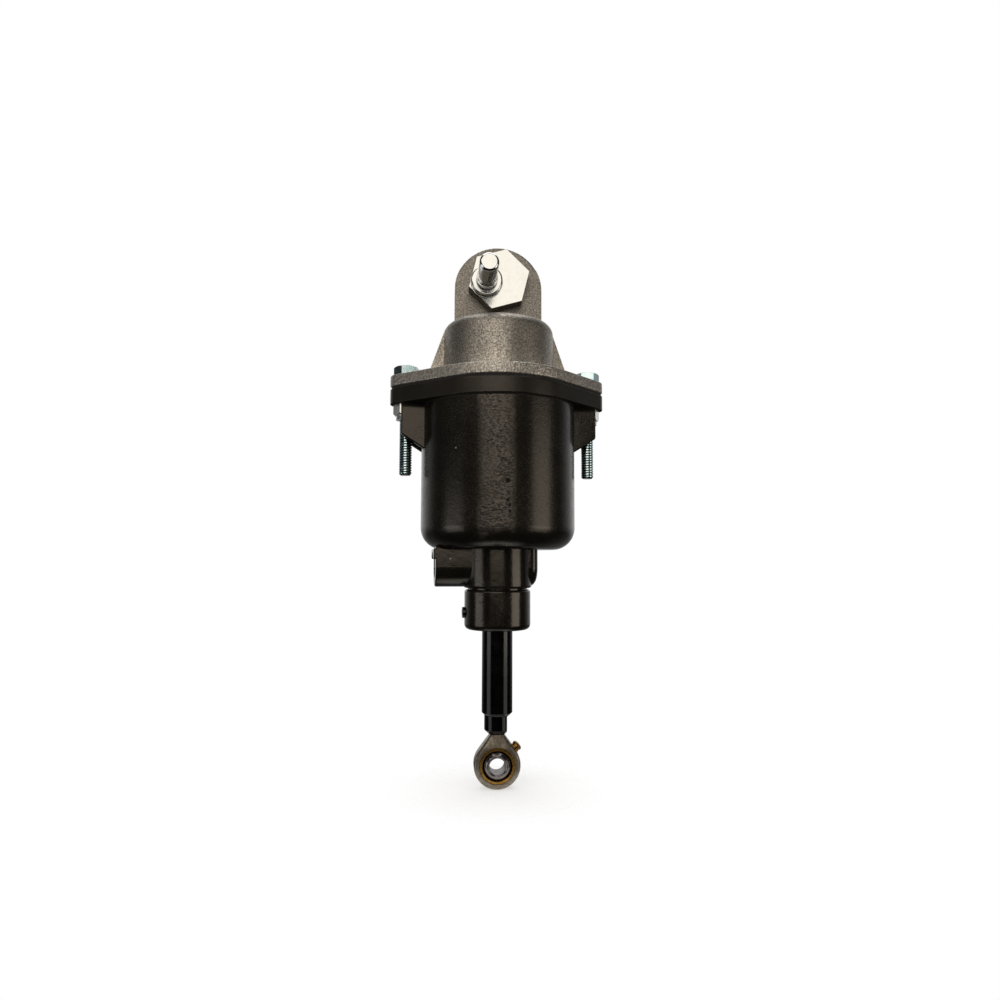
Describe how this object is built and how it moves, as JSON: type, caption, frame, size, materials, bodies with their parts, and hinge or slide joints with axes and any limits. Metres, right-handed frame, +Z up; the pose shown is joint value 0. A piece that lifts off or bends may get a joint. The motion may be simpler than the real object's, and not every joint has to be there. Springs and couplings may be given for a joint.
{
  "type": "engine governor actuator",
  "caption": "Spring-returned air cylinder with an eared flange, a lug on an eccentric pivot stud and a ball-jointed rod end, which moves an engine's speed lever.",
  "frame": {"origin": "on the pivot stud's axis, at the front face of its shoulder ring", "axes": "+Z up along the rod axis towards the pivot lug, -Y out along the pivot stud, +X to the right seen from the stud's end; the flange's ears are turned 4.2 degrees from X"},
  "size_m": [0.1096, 0.0786, 0.2757],
  "materials": {
    "cast_aluminium": "bare sand casting",
    "black_casting": "black coated casting, semi-gloss",
    "gasket_paper": "matt",
    "zinc_steel": "bright zinc plate",
    "turned_aluminium": "turned",
    "seal_rubber": "matt",
    "guide_plastic": "matt",
    "spring_steel": "plain steel",
    "black_rod": "gloss black oxide",
    "bronze": "machined",
    "ball_steel": "polished"
  },
  "bodies": {
    "pivot": {"pivot_stud": "zinc_steel", "pivot_washer": "zinc_steel", "pivot_nut": "zinc_steel"},
    "housing": {"end_cap": "cast_aluminium", "cylinder_body": "black_casting", "flange_gasket": "gasket_paper", "flange_bolts": "zinc_steel", "flange_nuts": "zinc_steel", "return_spring": "spring_steel", "rod_bush": "bronze", "rod_seal": "seal_rubber", "rod_wiper": "seal_rubber", "bush_set_screw": "black_rod"},
    "rod": {"piston": "turned_aluminium", "piston_seal": "seal_rubber", "piston_guide_ring": "guide_plastic", "piston_washer": "zinc_steel", "piston_nut": "zinc_steel", "piston_rod": "black_rod", "rod_end_body": "spring_steel", "rod_end_race": "bronze", "grease_nipple": "bronze"},
    "ball": {"rod_end_ball": "ball_steel"}
  },
  "joints": [
    {"name": "lug_pivot", "type": "hinge", "parent": "pivot", "child": "housing", "pos_m": [0.0065, 0.0193, 0.0019], "axis": [0, 1, 0], "continuous": true},
    {"name": "rod_slide", "type": "slide", "parent": "housing", "child": "rod", "axis": [0, 0, 1], "range_m": [0, 0.038], "stiffness_N_per_m": 2500, "springref_m": -0.02, "deforming": ["return_spring"]},
    {"name": "ball_turn", "type": "hinge", "parent": "rod", "child": "ball", "pos_m": [0.0065, 0.0128, -0.2425], "axis": [0, 1, 0], "continuous": true}
  ]
}
